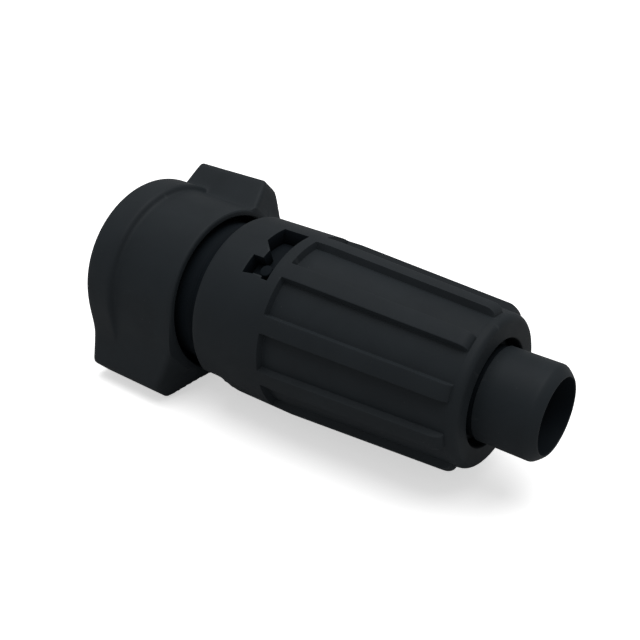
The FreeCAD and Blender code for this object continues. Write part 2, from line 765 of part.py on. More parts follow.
def retainer_bush():
    """Screwed bush that shuts the gland, with slots for a pin spanner."""
    body = new_body("retainer_bush")
    revolve(body, "bush_turned", [
        ("bush_front", "bush_bore"),
        ("bush_front", "bush_radius"),
        ("bush_flange_front", "bush_radius"),
        ("bush_flange_front", "bush_flange_radius"),
        ("bush_back", "bush_flange_radius"),
        ("bush_back", "bush_bore"),
    ])
    slot = new_sketch(body, "bush_slot_outline", "YZ_Plane", lift="bush_flange_front")
    outline(slot, [
        ("-bush_slot_half", "bush_radius"),
        ("bush_slot_half", "bush_radius"),
        ("bush_slot_half", "collar_radius"),
        ("-bush_slot_half", "collar_radius"),
    ])
    one_slot = extrude(body, "bush_slot", slot, "bush_flange_thickness", "Pocket", reverse=True)
    around(body, "bush_slots", [one_slot], "bush_slot_count")
    return body


def locking_sleeve():
    """Ribbed hand sleeve with the latch window; it turns on the thrust ring."""
    body = new_body("locking_sleeve")
    revolve(body, "sleeve_turned", [
        ("sleeve_start", "0"),
        ("sleeve_start", "collar_radius", "collar_round"),
        ("collar_end", "collar_radius"),
        ("collar_end", "floor_radius"),
        ("taper_start", "floor_radius"),
        ("sleeve_end", "nose_radius", "nose_round"),
        ("sleeve_end", "0"),
    ])
    rib = revolve(body, "rib", [
        ("rib_start", "rib_root_radius"),
        ("rib_start", "collar_radius"),
        ("taper_start", "collar_radius"),
        ("rib_end", "rib_end_radius", "rib_end_round"),
        ("rib_end", "rib_root_end_radius"),
        ("taper_start", "rib_root_radius"),
    ], turn="rib_plane_turn", sweep="rib_width")
    around(body, "ribs", [rib], "rib_count")
    revolve(body, "sleeve_bores", [
        ("sleeve_start", "0"),
        ("sleeve_start", "sleeve_bore"),
        ("spring_room_start", "sleeve_bore"),
        ("spring_room_start", "spring_room_radius"),
        ("spring_room_end", "spring_room_radius"),
        ("spring_room_end", "rear_sleeve_bore"),
        ("nose_back", "rear_sleeve_bore"),
        ("nose_back", "nose_hole"),
        ("sleeve_end", "nose_hole"),
        ("sleeve_end", "0"),
    ], kind="Groove")
    window = new_sketch(body, "window_outline", turn="window_turn", lift="rear_barrel_radius")
    outline(window, [
        ("window_left", "window_half_width"),
        ("window_left", "upper_pocket_edge"),
        ("catch_x", "-catch_ramp_edge"),
        ("catch_x", "-catch_edge"),
        ("window_left", "-catch_edge"),
        ("window_left", "-window_half_width"),
        ("window_foot_x", "-window_foot_edge"),
        ("window_notch_x", "-window_half_width"),
        ("window_right", "-window_half_width"),
        ("window_right", "window_half_width"),
    ])
    extrude(body, "window", window, "rear_barrel_radius", "Pocket", reverse=True)
    relief = new_sketch(body, "relief_outline", turn="relief_plane_turn")
    outline(relief, [
        ("sleeve_start", "relief_radius"),
        ("relief_end", "relief_radius"),
        ("relief_ramp_end", "collar_radius"),
        ("sleeve_start", "collar_radius"),
    ])
    extrude(body, "relief", relief, "relief_width", "Pocket", both_ways=True)
    return body


def ring(label, front, back, inner, outer):
    """Plain ring about the X axis."""
    return turned_piece(label, [(front, inner), (front, outer), (back, outer), (back, inner)])


def inlet_washer():
    return ring("inlet_washer", "washer_front", "tail_flange_front", "washer_hole", "washer_radius")


def strainer_mesh():
    return ring("strainer_mesh", "ledge_end", "strainer_cap_front", "mesh_inner", "mesh_outer")


def tail_seal_ring():
    """Square-cut rubber ring that seals the tail piece in the core body."""
    return ring("tail_seal_ring", "tail_seal_front", "tail_seal_back", "tail_seal_inner", "tail_seal_outer")


def poppet_seal():
    return ring("poppet_seal", "valve_seal_front", "valve_seal_back", "valve_seal_inner", "valve_seal_outer")


def check_spring():
    return coil("check_spring", "check_wire_half", "check_spring_radius",
                "check_spring_start", "check_spring_length", "check_spring_pitch")


def diaphragm():
    """Rubber disc with a thin web inside a thick clamped rim."""
    return turned_piece("diaphragm", [
        ("diaphragm_web_front", "0"),
        ("diaphragm_web_front", "diaphragm_inner"),
        ("diaphragm_front", "diaphragm_inner"),
        ("diaphragm_front", "diaphragm_radius"),
        ("diaphragm_back", "diaphragm_radius"),
        ("diaphragm_back", "diaphragm_inner"),
        ("diaphragm_web_back", "diaphragm_inner"),
        ("diaphragm_web_back", "0"),
    ])


def outlet_tube():
    """Spigot for 16 mm drip line: a thin tube, bevelled at the mouth and flanged inside."""
    return turned_piece("outlet_tube", [
        ("tube_flange_front", "tube_bore"),
        ("tube_flange_front", "tube_flange_radius"),
        ("tube_flange_back", "tube_flange_radius"),
        ("tube_flange_back", "tube_shank_radius"),
        ("spigot_start", "tube_shank_radius"),
        ("spigot_start", "tube_radius"),
        ("tube_bevel_x", "tube_radius"),
        ("tube_end", "tube_tip_radius"),
        ("tube_end", "tube_bore"),
    ])


def outlet_lip_seal():
    """U-section ring: one lip on the tube, one on the gland's wall."""
    return turned_piece("outlet_lip_seal", [
        ("lip_front", "lip_inner"),
        ("lip_front", "lip_inner_tip"),
        ("lip_root_x", "lip_inner_root"),
        ("lip_root_x", "lip_outer_root"),
        ("lip_front", "lip_outer_tip"),
        ("lip_front", "lip_outer"),
        ("lip_back", "lip_outer"),
        ("lip_back", "lip_inner"),
    ])


def seal_backup_ring():
    return ring("seal_backup_ring", "backup_front", "backup_back", "lip_inner", "lip_outer")


def latch_spring():
    return coil("latch_spring", "latch_wire_half", "latch_spring_radius",
                "latch_spring_start", "latch_spring_length", "latch_spring_pitch")


def thrust_ring():
    return ring("thrust_ring", "thrust_ring_front", "thrust_ring_back",
                "thrust_ring_inner", "thrust_ring_outer")


pieces = [
    winged_nut(),
    inlet_washer(),
    strainer_frame(),
    strainer_mesh(),
    tail_piece(),
    tail_seal_ring(),
    core_body(),
    latch_pin(),
    check_poppet(),
    poppet_seal(),
    check_spring(),
    spring_carrier(),
    labyrinth_core(),
    diaphragm(),
    diaphragm_cover(),
    outlet_tube(),
    outlet_lip_seal(),
    seal_backup_ring(),
    retainer_bush(),
    latch_spring(),
    thrust_ring(),
    locking_sleeve(),
]
doc.recompute()

for feature in doc.Objects:
    if "Invalid" in feature.State or "Error" in feature.State:
        raise RuntimeError("%s is %s" % (feature.Name, feature.State))
for piece in pieces:
    if piece.Shape.isNull() or not piece.Shape.isValid() or piece.Shape.Volume <= 0:
        raise RuntimeError("%s has no valid shape" % piece.Label)

os.makedirs("parts", exist_ok=True)
for piece in pieces:
    piece.Shape.exportStep(os.path.join("parts", piece.Label + ".step"))
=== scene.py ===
import math

import bpy
from mathutils import Matrix, Vector


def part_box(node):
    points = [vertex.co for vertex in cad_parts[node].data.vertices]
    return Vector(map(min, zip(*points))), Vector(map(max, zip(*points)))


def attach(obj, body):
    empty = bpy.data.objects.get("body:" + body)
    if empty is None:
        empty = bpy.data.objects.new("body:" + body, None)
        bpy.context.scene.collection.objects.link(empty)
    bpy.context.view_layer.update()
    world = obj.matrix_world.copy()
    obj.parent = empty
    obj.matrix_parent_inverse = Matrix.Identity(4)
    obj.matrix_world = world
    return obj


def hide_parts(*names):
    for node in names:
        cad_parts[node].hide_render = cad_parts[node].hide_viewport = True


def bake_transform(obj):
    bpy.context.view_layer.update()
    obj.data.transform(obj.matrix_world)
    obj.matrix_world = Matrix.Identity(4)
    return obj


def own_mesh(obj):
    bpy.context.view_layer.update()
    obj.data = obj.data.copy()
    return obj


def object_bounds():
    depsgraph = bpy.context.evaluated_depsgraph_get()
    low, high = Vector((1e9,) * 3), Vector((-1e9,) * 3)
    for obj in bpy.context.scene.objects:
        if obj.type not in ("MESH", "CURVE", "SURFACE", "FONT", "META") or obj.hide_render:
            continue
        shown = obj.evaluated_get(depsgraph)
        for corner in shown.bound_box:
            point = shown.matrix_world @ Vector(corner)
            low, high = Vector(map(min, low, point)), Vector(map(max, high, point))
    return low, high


# A drip emitter with a winged hose nut, lying along X on a pale ground. Profiles are in millimetres:
# (distance along X, radius). Angles count from +Z, right-handed about +X, so 90 degrees faces -Y.
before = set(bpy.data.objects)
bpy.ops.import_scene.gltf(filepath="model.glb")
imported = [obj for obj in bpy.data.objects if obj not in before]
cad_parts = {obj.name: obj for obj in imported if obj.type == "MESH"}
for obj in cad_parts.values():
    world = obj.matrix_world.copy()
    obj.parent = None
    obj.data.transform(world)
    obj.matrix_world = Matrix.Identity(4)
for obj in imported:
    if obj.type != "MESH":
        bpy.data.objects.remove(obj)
cad_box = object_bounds()
MM = 0.001

# ---------------------------------------------------------------------------
# Tail piece: the flanged tube that the nut pulls against the hose tap. Black
# acetal, turned smooth on the sealing faces, one injection moulding.
# ---------------------------------------------------------------------------


def rings(low, high, count):
    """Evenly spaced stations from low to high, both included."""
    return [low + (high - low) * step / count for step in range(count + 1)]


def arc(centre_x, centre_r, radius, start, stop, count):
    """Profile points on an arc; 0 degrees points along +X and 90 outwards."""
    return [
        (centre_x + radius * math.cos(math.radians(angle)), centre_r + radius * math.sin(math.radians(angle)))
        for angle in rings(start, stop, count)
    ]


def turned(name, profile, facets, rounding=0.0, soft_angle=35.0):
    """Draw a ring of edges along a closed profile, one extrusion per step, as on a lathe."""
    bpy.ops.object.select_all(action="DESELECT")
    x, radius = profile[0]
    bpy.ops.mesh.primitive_circle_add(
        vertices=facets, radius=radius * MM, location=(x * MM, 0, 0), rotation=(0, math.pi / 2, 0)
    )
    piece = bpy.context.object
    piece.name = name
    bpy.ops.object.transform_apply(location=True, rotation=True, scale=True)
    bpy.ops.object.mode_set(mode="EDIT")
    bpy.ops.mesh.select_all(action="SELECT")
    for (x, radius), (next_x, next_radius) in zip(profile, profile[1:] + profile[:1]):
        bpy.ops.mesh.extrude_region()
        bpy.ops.transform.translate(value=((next_x - x) * MM, 0, 0))
        scale = next_radius / radius
        bpy.ops.transform.resize(value=(1, scale, scale), center_override=(next_x * MM, 0, 0))
    bpy.ops.mesh.select_all(action="SELECT")
    bpy.ops.mesh.remove_doubles(threshold=0.002 * MM)
    bpy.ops.mesh.normals_make_consistent(inside=False)
    bpy.ops.object.mode_set(mode="OBJECT")
    if rounding:
        round_edges(piece, rounding)
    bpy.ops.object.shade_smooth_by_angle(angle=math.radians(soft_angle))
    return piece


def round_edges(piece, width, segments=2, angle=40.0):
    """Moulded edges are never sharp: bevel every edge that turns more than the angle."""
    bpy.ops.object.select_all(action="DESELECT")
    piece.select_set(True)
    bpy.context.view_layer.objects.active = piece
    bevel = piece.modifiers.new("moulded_edges", "BEVEL")
    bevel.width = width * MM
    bevel.segments = segments
    bevel.limit_method = "ANGLE"
    bevel.angle_limit = math.radians(angle)
    bevel.harden_normals = False
    bpy.ops.object.modifier_apply(modifier=bevel.name)


class Wire:
    """One output of a node, with arithmetic that adds Math nodes."""

    def __init__(self, finish, socket):
        self.finish = finish
        self.socket = socket

    def maths(self, operation, first, second):
        return self.finish.node("ShaderNodeMath", {"operation": operation}, {0: first, 1: second})

    def __add__(self, other):
        return self.maths("ADD", self, other)

    def __radd__(self, other):
        return self.maths("ADD", other, self)

    def __sub__(self, other):
        return self.maths("SUBTRACT", self, other)

    def __rsub__(self, other):
        return self.maths("SUBTRACT", other, self)

    def __mul__(self, other):
        return self.maths("MULTIPLY", self, other)

    def __rmul__(self, other):
        return self.maths("MULTIPLY", other, self)


class Finish:
    """A material: its node tree, its Principled surface and the coordinates of the piece."""

    def __init__(self, name, colour, roughness):
        self.material = bpy.data.materials.new(name)
        self.material.use_nodes = True
        self.tree = self.material.node_tree
        self.surface = self.tree.nodes["Principled BSDF"]
        self.set("Base Color", (*colour, 1))
        self.set("Roughness", roughness)
        self.place = self.node("ShaderNodeTexCoord", {}, {}, "Object")

    def node(self, kind, settings, sockets, output=0):
        made = self.tree.nodes.new(kind)
        for key, value in settings.items():
            if key == "stops":
                low, high = made.color_ramp.elements
                low.position, high.position = value
            else:
                setattr(made, key, value)
        for key, value in sockets.items():
            self.plug(made.inputs[key], value)
        return Wire(self, made.outputs[output])

    def plug(self, socket, value):
        if isinstance(value, Wire):
            self.tree.links.new(value.socket, socket)
        else:
            socket.default_value = value

    def set(self, name, value):
        self.plug(self.surface.inputs[name], value)

    def noise(self, per_mm, detail=3.0, distortion=0.0):
        """Cloudy pattern with so many grains to the millimetre, from 0 to 1."""
        sockets = {"Vector": self.place, "Scale": per_mm / MM, "Detail": detail, "Distortion": distortion}
        return self.node("ShaderNodeTexNoise", {}, sockets, "Fac")

    def above(self, pattern, low, high):
        """Where a pattern climbs from low to high, as a mask from 0 to 1."""
        return self.node("ShaderNodeValToRGB", {"stops": (low, high)}, {"Fac": pattern})

    def blend(self, mask, base, other):
        """Colour that goes from base to other with the mask."""
        sockets = {"Factor": mask, 6: base, 7: other}
        return self.node("ShaderNodeMix", {"data_type": "RGBA"}, sockets, 2)

    def bump(self, height, strength, depth):
        sockets = {"Height": height, "Strength": strength, "Distance": depth * MM}
        self.set("Normal", self.node("ShaderNodeBump", {}, sockets, "Normal"))


def wear(finish, colour, worn, amount):
    """Edges that hands and tools have rubbed a little paler."""
    edge = finish.above(finish.node("ShaderNodeNewGeometry", {}, {}, "Pointiness"), 0.52, 0.62)
    return finish.blend(edge * finish.noise(0.7) * amount, colour, worn)


def black_moulding(name, colour, roughness, grain, sheen_spread=0.1, gloss=0.13, rubbed=0.2):
    """Carbon-black plastic: faint flow clouds, fine mould grain, rubbed edges and a little dust."""
    finish = Finish(name, colour, roughness)
    finish.set("Specular IOR Level", gloss)
    clouds = finish.noise(0.08, 4.0, 1.5)
    pale = tuple(1.5 * part for part in colour)
    shade = finish.blend(clouds, (*colour, 1), (*pale, 1))
    if rubbed:
        shade = wear(finish, shade, (0.1, 0.107, 0.113, 1), rubbed)
    dust = finish.above(finish.noise(2.6, 2.0), 0.72, 0.80) * finish.above(finish.noise(0.15), 0.45, 0.75)
    finish.set("Base Color", finish.blend(dust * 0.35, shade, (0.16, 0.16, 0.155, 1)))
    rub = finish.noise(0.35, 5.0, 0.8)
    finish.set("Roughness", roughness - sheen_spread / 2 + rub * sheen_spread)
    grains = finish.noise(grain, 2.0) + finish.noise(grain * 0.23, 2.0) * 0.6
    finish.bump(grains, 0.35, 0.012)
    return finish


acetal = black_moulding("black_acetal", (0.0125, 0.0155, 0.0185), 0.5, 7.0)
tail_low, tail_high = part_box("tail_piece")
tail_front, tail_back = tail_low.x / MM, tail_high.x / MM
flange_radius = tail_high.z / MM
flange_back = tail_front + 2.0
shank_radius, ledge_radius, bore_radius, seat_radius = 10.5, 7.6, 6.9, 5.0
groove_front, groove_back, groove_radius = flange_back + 5.4, flange_back + 7.3, 9.1
tail = turned("tail_tube", [
    (tail_front, ledge_radius),
    (tail_front, 9.2), (tail_front + 0.25, 9.4), (tail_front, 9.6),
    (tail_front, flange_radius),
    (flange_back, flange_radius),
    (flange_back, shank_radius),
    (groove_front, shank_radius),
    (groove_front, groove_radius),
    (groove_back, groove_radius),
    (groove_back, shank_radius),
    (tail_back, shank_radius),
    (tail_back, seat_radius),
    (tail_back - 2.2, seat_radius),
    (tail_back - 2.2, bore_radius),
    (tail_front + 1.2, bore_radius),
    (tail_front + 1.2, ledge_radius),
], 128, rounding=0.15)
tail.data.materials.append(acetal.material)
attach(tail, "emitter_core")
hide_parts("tail_piece")

# ---------------------------------------------------------------------------
# Inlet washer: flat ring of black EPDM, die-cut, with a slightly pressed-in
# band where the hose tap bears on it.
# ---------------------------------------------------------------------------


def rubber(name, colour):
    """Matt rubber with a dusty bloom and fine pores."""
    finish = Finish(name, colour, 0.75)
    bloom = finish.noise(0.5, 4.0, 1.0)
    finish.set("Base Color", finish.blend(bloom * 0.4, (*colour, 1), (0.08, 0.08, 0.078, 1)))
    finish.set("Roughness", 0.65 + finish.noise(1.2) * 0.2)
    finish.bump(finish.noise(9.0, 2.0), 0.3, 0.01)
    return finish


epdm = rubber("black_rubber", (0.018, 0.018, 0.018))
washer_low, washer_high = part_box("inlet_washer")
washer_front, washer_back = washer_low.x / MM, washer_high.x / MM
washer_radius, washer_hole = washer_high.z / MM, 7.9
washer = turned("hose_washer", [
    (washer_front, washer_hole),
    (washer_front, 8.8),
    (washer_front + 0.12, 9.2),
    (washer_front + 0.12, 10.6),
    (washer_front, 11.0),
    (washer_front, washer_radius),
    (washer_back, washer_radius),
    (washer_back, washer_hole),
], 128, rounding=0.12)
washer.data.materials.append(epdm.material)
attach(washer, "emitter_core")
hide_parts("inlet_washer")

# ---------------------------------------------------------------------------
# Strainer: a blue moulded thimble, rim, three legs and end cap, with a woven
# stainless mesh welded inside its legs.
# ---------------------------------------------------------------------------
blue = Finish("blue_strainer", (0.03, 0.09, 0.22), 0.45)
blue.set("Base Color", blue.blend(blue.noise(0.3, 3.0), (0.026, 0.08, 0.2, 1), (0.04, 0.11, 0.26, 1)))
blue.set("Roughness", 0.4 + blue.noise(0.8) * 0.15)
blue.bump(blue.noise(6.0), 0.2, 0.01)
strainer_low, strainer_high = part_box("strainer_frame")
rim_front, cap_back = strainer_low.x / MM, strainer_high.x / MM
rim = turned("strainer_rim", [
    (rim_front, 5.6), (rim_front, 7.55), (rim_front + 1.2, 7.55), (rim_front + 1.2, 5.6),
], 96, rounding=0.12)
cap = turned("strainer_cap", [
    (cap_back - 0.9, 0.02), (cap_back - 0.9, 6.5), (cap_back, 6.5), (cap_back, 0.02),
], 96, rounding=0.12)
legs = []
for turn in (0, 120, 240):
    bpy.ops.object.select_all(action="DESELECT")
    bpy.ops.mesh.primitive_cube_add(size=1, location=((rim_front + cap_back) / 2 * MM, 0, 6.2 * MM))
    leg = bpy.context.object
    leg.scale = ((cap_back - rim_front - 1.0) * MM, 1.4 * MM, 0.6 * MM)
    bpy.ops.object.transform_apply(location=True, rotation=True, scale=True)
    leg.rotation_euler = (math.radians(turn), 0, 0)
    bpy.ops.object.transform_apply(location=False, rotation=True, scale=False)
    round_edges(leg, 0.15)
    legs.append(leg)
bpy.ops.object.select_all(action="DESELECT")
for part in [cap, *legs, rim]:
    part.select_set(True)
bpy.context.view_layer.objects.active = rim
bpy.ops.object.join()
rim.name = "strainer_thimble"
rim.data.materials.append(blue.material)
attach(rim, "emitter_core")
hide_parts("strainer_frame")

steel = Finish("stainless_wire", (0.42, 0.42, 0.41), 0.32)
steel.set("Metallic", 1.0)
steel.set("Base Color", steel.blend(steel.noise(1.0, 4.0), (0.36, 0.36, 0.35, 1), (0.52, 0.52, 0.5, 1)))
steel.set("Roughness", 0.25 + steel.noise(2.5) * 0.2)
steel.bump(steel.noise(12.0), 0.15, 0.005)
mesh_low, mesh_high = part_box("strainer_mesh")
bpy.ops.object.select_all(action="DESELECT")
bpy.ops.mesh.primitive_cylinder_add(
    vertices=72, radius=5.72 * MM, depth=(mesh_high.x - mesh_low.x), end_fill_type="NOTHING",
    location=((mesh_low.x + mesh_high.x) / 2, 0, 0), rotation=(0, math.pi / 2, 0)
)
gauze = bpy.context.object
gauze.name = "strainer_gauze"
bpy.ops.object.transform_apply(location=True, rotation=True, scale=True)
bpy.ops.object.mode_set(mode="EDIT")
bpy.ops.mesh.select_all(action="SELECT")
for cut in range(1, 12):
    cut_x = mesh_low.x + (mesh_high.x - mesh_low.x) * cut / 12
    bpy.ops.mesh.select_all(action="SELECT")
    bpy.ops.mesh.bisect(plane_co=(cut_x, 0, 0), plane_no=(1, 0, 0))
bpy.ops.object.mode_set(mode="OBJECT")
weave = gauze.modifiers.new("wires", "WIREFRAME")
weave.thickness = 0.14 * MM
weave.use_boundary = True
bpy.ops.object.modifier_apply(modifier=weave.name)
gauze.data.materials.append(steel.material)
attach(gauze, "emitter_core")
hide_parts("strainer_mesh")

# ---------------------------------------------------------------------------
# Winged nut: black polypropylene hand nut, 32 mm barrel behind a wider flange,
# two opposite wings for the fingers, each with a gentle and a steep flank, and
# a 3/4 inch hose thread inside.
# ---------------------------------------------------------------------------
NUT_FACETS = 360
FLANGE_LENGTH = 7.1
OUTSIDE_LOW, FRONT_LAND_X = 14.85, 20.9
BACK_FACE_INNER, BACK_FACE_OUTER = 14.65, 15.6
WING_TURN = -47.0
WING_TIP = 23.2
WING_TIP_HALF = 1.9
GENTLE_FOOT = (9.9, 12.8)
STEEP_FOOT, STEEP_FOOT_SPREAD = (3.5, 16.0), 0.11
WING_HOLLOW = 0.35
GENTLE_BLEND, STEEP_BLEND = 1.8, 0.8
WING_LIMIT, WING_FADE = math.radians(50), math.radians(18)
WING_FLAT_END, RAKE_END, WING_CORNER = 17.5, 20.8, 2.6
WING_BACK_ROUND, WING_EDGE_ROUND = 1.8, 0.8
RIM_RADIUS = 16.0
nut_plastic = black_moulding("black_nut_plastic", (0.0135, 0.017, 0.02), 0.58, 6.0)


def soft_min(first, second, reach):
    """Smaller of two lengths, rounded where they cross."""
    near = max(reach - abs(first - second), 0) / reach
    return min(first, second) - near * near * reach / 4


def wing_reach(x, off_centre):
    """Radius of the wing's surface at a station and an angle from the wing's centre."""
    across, up = math.sin(abs(off_centre)), math.cos(off_centre)
    back = min(max(WING_BACK_ROUND - x, 0), WING_BACK_ROUND)
    inset = WING_BACK_ROUND - math.sqrt(WING_BACK_ROUND ** 2 - back ** 2)
    foot = GENTLE_FOOT
    if off_centre > 0:
        foot = (STEEP_FOOT[0] + STEEP_FOOT_SPREAD * max(x - FLANGE_LENGTH, 0), STEEP_FOOT[1])
    run, fall = foot[0] - WING_TIP_HALF, WING_TIP - foot[1]
    edge_distance = (WING_TIP_HALF * fall + WING_TIP * run) / math.hypot(run, fall)
    flank = (edge_distance - inset) * math.hypot(run, fall) / (across * fall + up * run)
    if off_centre < 0:
        share = min(max((flank - RIM_RADIUS) / (WING_TIP - RIM_RADIUS), 0), 1)
        flank -= WING_HOLLOW * 4 * share * (1 - share)
    rake = WING_TIP - max(x - WING_FLAT_END, 0) * (WING_TIP - RIM_RADIUS) / (RAKE_END - WING_FLAT_END)
    reach = soft_min(WING_TIP - inset, rake, WING_CORNER) / up
    return soft_min(flank, reach, WING_EDGE_ROUND)


bore = 13.25
barrel = (
    [(0.0, bore + 0.7), (0.0, 14.9), (0.0, 15.5)]
    + arc(1.8, 15.6, 1.8, 180, 90, 8)
    + [(x, 17.4) for x in rings(2.3, 6.3, 8)]
    + [(6.6, 17.33), (6.85, 17.16), (7.05, 16.92), (7.2, 16.68), (7.4, 16.46), (7.7, 16.33)]
    + [(x, 16.3 - 0.3 * (x - 8.1) / 12.5) for x in rings(8.1, 20.6, 26)]
    + [(20.85, 15.95), (21.02, 15.8), (21.1, 15.6)]
)
inside = [
    (21.1, 15.05), (21.0, 14.88), (20.7, 14.8), (14.7, 14.5), (14.5, 14.3),
    (14.5, 10.7), (14.35, 10.55), (12.25, 10.55), (12.1, 10.7),
    (12.1, bore - 0.15), (11.95, bore), (0.8, bore), (0.45, bore + 0.15),
]
nut = turned("hand_nut", barrel + inside, NUT_FACETS, soft_angle=30)
for vertex in nut.data.vertices:
    x = vertex.co.x / MM
    radius = math.hypot(vertex.co.y, vertex.co.z) / MM
    if radius < OUTSIDE_LOW or x > FRONT_LAND_X:
        continue
    angle = math.atan2(-vertex.co.y, vertex.co.z) - math.radians(WING_TURN)
    off_centre = (angle + math.pi / 2) % math.pi - math.pi / 2
    if abs(off_centre) > WING_LIMIT:
        continue
    root = GENTLE_BLEND if off_centre < 0 else STEEP_BLEND
    reach = -soft_min(-radius, -wing_reach(x, off_centre), root)
    fade = min((WING_LIMIT - abs(off_centre)) / WING_FADE, 1)
    reach = radius + (reach - radius) * fade * fade * (3 - 2 * fade)
    if x < 0.01:
        share = (radius - BACK_FACE_INNER) / (BACK_FACE_OUTER - BACK_FACE_INNER)
        reach = radius + max(reach - BACK_FACE_OUTER, 0) * share
    vertex.co.y *= reach / radius
    vertex.co.z *= reach / radius
nut.data.update()
nut.data.materials.append(nut_plastic.material)
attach(nut, "swivel_nut")
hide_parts("winged_nut")

# The hose thread: a blunt triangular ridge wound a little over three times round the bore.
THREAD_PITCH, THREAD_CREST, THREAD_ROOT = 1.814, 12.1, 13.3
THREAD_START, THREAD_FOOT, THREAD_CREST_SHARE = 1.5, 1.3, 0.3
THREAD_TURNS, THREAD_STEPS = 3.2, 320
thread_middle = (THREAD_CREST + THREAD_ROOT) / 2
bpy.ops.object.select_all(action="DESELECT")
bpy.ops.mesh.primitive_plane_add(size=1, location=(THREAD_START * MM, 0, thread_middle * MM))
thread = bpy.context.object
thread.name = "nut_thread"
thread.rotation_euler = (math.pi / 2, 0, 0)
thread.scale = (THREAD_FOOT * MM, (THREAD_ROOT - THREAD_CREST) * MM, 1)
bpy.ops.object.transform_apply(location=True, rotation=True, scale=True)
for vertex in thread.data.vertices:
    if vertex.co.z < thread_middle * MM:
        vertex.co.x = THREAD_START * MM + (vertex.co.x - THREAD_START * MM) * THREAD_CREST_SHARE
winding = thread.modifiers.new("turns", "SCREW")
winding.axis = "X"
winding.angle = 2 * math.pi * THREAD_TURNS
winding.screw_offset = THREAD_PITCH * THREAD_TURNS * MM
winding.steps = THREAD_STEPS
winding.render_steps = THREAD_STEPS
bpy.ops.object.modifier_apply(modifier=winding.name)
bpy.ops.object.mode_set(mode="EDIT")
bpy.ops.mesh.select_all(action="SELECT")
bpy.ops.mesh.remove_doubles(threshold=0.002 * MM)
bpy.ops.mesh.normals_make_consistent(inside=False)
bpy.ops.object.mode_set(mode="OBJECT")
bpy.ops.object.shade_smooth_by_angle(angle=math.radians(30))
thread.data.materials.append(nut_plastic.material)
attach(thread, "swivel_nut")
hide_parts("winged_nut")

# ---------------------------------------------------------------------------
# Core body: the main black acetal moulding. Its neck shows in the nut's mouth
# and its barrel is the floor of the latch window. Both lie deep in shadow, so
# their colour is a deeper black of painted shade and their finish more matt,
# as it is inside the window and the mouth.
# ---------------------------------------------------------------------------
# Painted shade: a deeper black than the outer plastic, standing for the shadow in the window, the mouth and
# the inner walls.
painted_shade_black = black_moulding("black_painted_shade", (0.005, 0.0072, 0.0095), 0.7, 7.0, gloss=0.06, rubbed=0)
core_low, core_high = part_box("core_body")
core_front, core_back = core_low.x / MM, core_high.x / MM
neck_radius, spring_barrel, shoulder_x = core_high.z / MM, 11.2, 39.5
core = turned("core_moulding", [
    (core_front, 10.55),
    (core_front, neck_radius - 0.6),
    (core_front + 0.6, neck_radius),
    (22.9, neck_radius), (23.1, neck_radius - 0.25), (23.5, neck_radius - 0.25), (23.7, neck_radius),
    (shoulder_x, neck_radius),
    (shoulder_x, spring_barrel),
    (core_back, spring_barrel),
    (core_back, 9.7),
    (60.2, 9.7), (60.2, 8.6), (36.0, 8.6), (36.0, 8.2), (32.0, 8.2), (32.0, 8.9), (22.6, 8.9), (22.6, 10.55),
], 160, rounding=0.2)
core.data.materials.append(painted_shade_black.material)
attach(core, "emitter_core")
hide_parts("core_body")

# ---------------------------------------------------------------------------
# Latch pin: a short round pin pressed into the barrel through the window, seen in
# the window's lower pocket. It has the barrel's deeper black of painted shade.
# ---------------------------------------------------------------------------
PIN_X, PIN_TURN = 37.2, math.radians(33)
PIN_RADIUS, PIN_HEIGHT, PIN_GAP = 1.1, 2.15, 0.05
pin_out = Vector((0, -math.sin(PIN_TURN), math.cos(PIN_TURN)))
bpy.ops.object.select_all(action="DESELECT")
bpy.ops.mesh.primitive_cylinder_add(
    vertices=48, radius=PIN_RADIUS * MM, depth=PIN_HEIGHT * MM, rotation=(PIN_TURN, 0, 0),
    location=Vector((PIN_X * MM, 0, 0)) + pin_out * (neck_radius + PIN_GAP + PIN_HEIGHT / 2) * MM
)
pin = bpy.context.object
pin.name = "latch_peg"
bpy.ops.object.transform_apply(location=True, rotation=True, scale=True)
round_edges(pin, 0.22, segments=3)
bpy.ops.object.shade_smooth_by_angle(angle=math.radians(35))
# Painted shade: the pin gets the barrel's deeper black, for the pocket's shadow.
pin.data.materials.append(painted_shade_black.material)
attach(pin, "emitter_core")
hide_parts("latch_pin")

# ---------------------------------------------------------------------------
# Outlet tube and its gland bush: the 16 mm spigot, thin-walled and bevelled at
# the mouth, held by a screwed bush that shows inside the sleeve's nose.
# ---------------------------------------------------------------------------
tube_plastic = black_moulding("black_tube_plastic", (0.0125, 0.016, 0.019), 0.56, 8.0)
tube_low, tube_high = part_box("outlet_tube")
tube_front, tube_end = tube_low.x / MM, tube_high.x / MM
tube_radius, shank_radius_inside, tube_bore, tube_flange = 8.0, 7.75, 6.4, 9.65
SPIGOT_STEP_X = 77.05
tube = turned("spigot_tube", [
    (tube_front, tube_bore),
    (tube_front, tube_flange),
    (tube_front + 2.0, tube_flange),
    (tube_front + 2.0, shank_radius_inside),
    (SPIGOT_STEP_X, shank_radius_inside),
    (SPIGOT_STEP_X, tube_radius - 0.08),
    (SPIGOT_STEP_X + 0.08, tube_radius),
    *[(x, tube_radius) for x in rings(78.0, tube_end - 1.9, 12)],
    (tube_end - 1.6, tube_radius - 0.03),
    (tube_end - 1.3, tube_radius - 0.17),
    (tube_end - 0.9, tube_radius - 0.47),
    (tube_end - 0.4, tube_radius - 0.93),
    (tube_end - 0.1, tube_radius - 1.26),
    (tube_end, tube_radius - 1.42),
    (tube_end - 0.03, tube_bore + 0.06),
    (tube_end - 0.15, tube_bore),
    (72.0, tube_bore),
], 160)
tube.data.materials.append(tube_plastic.material)
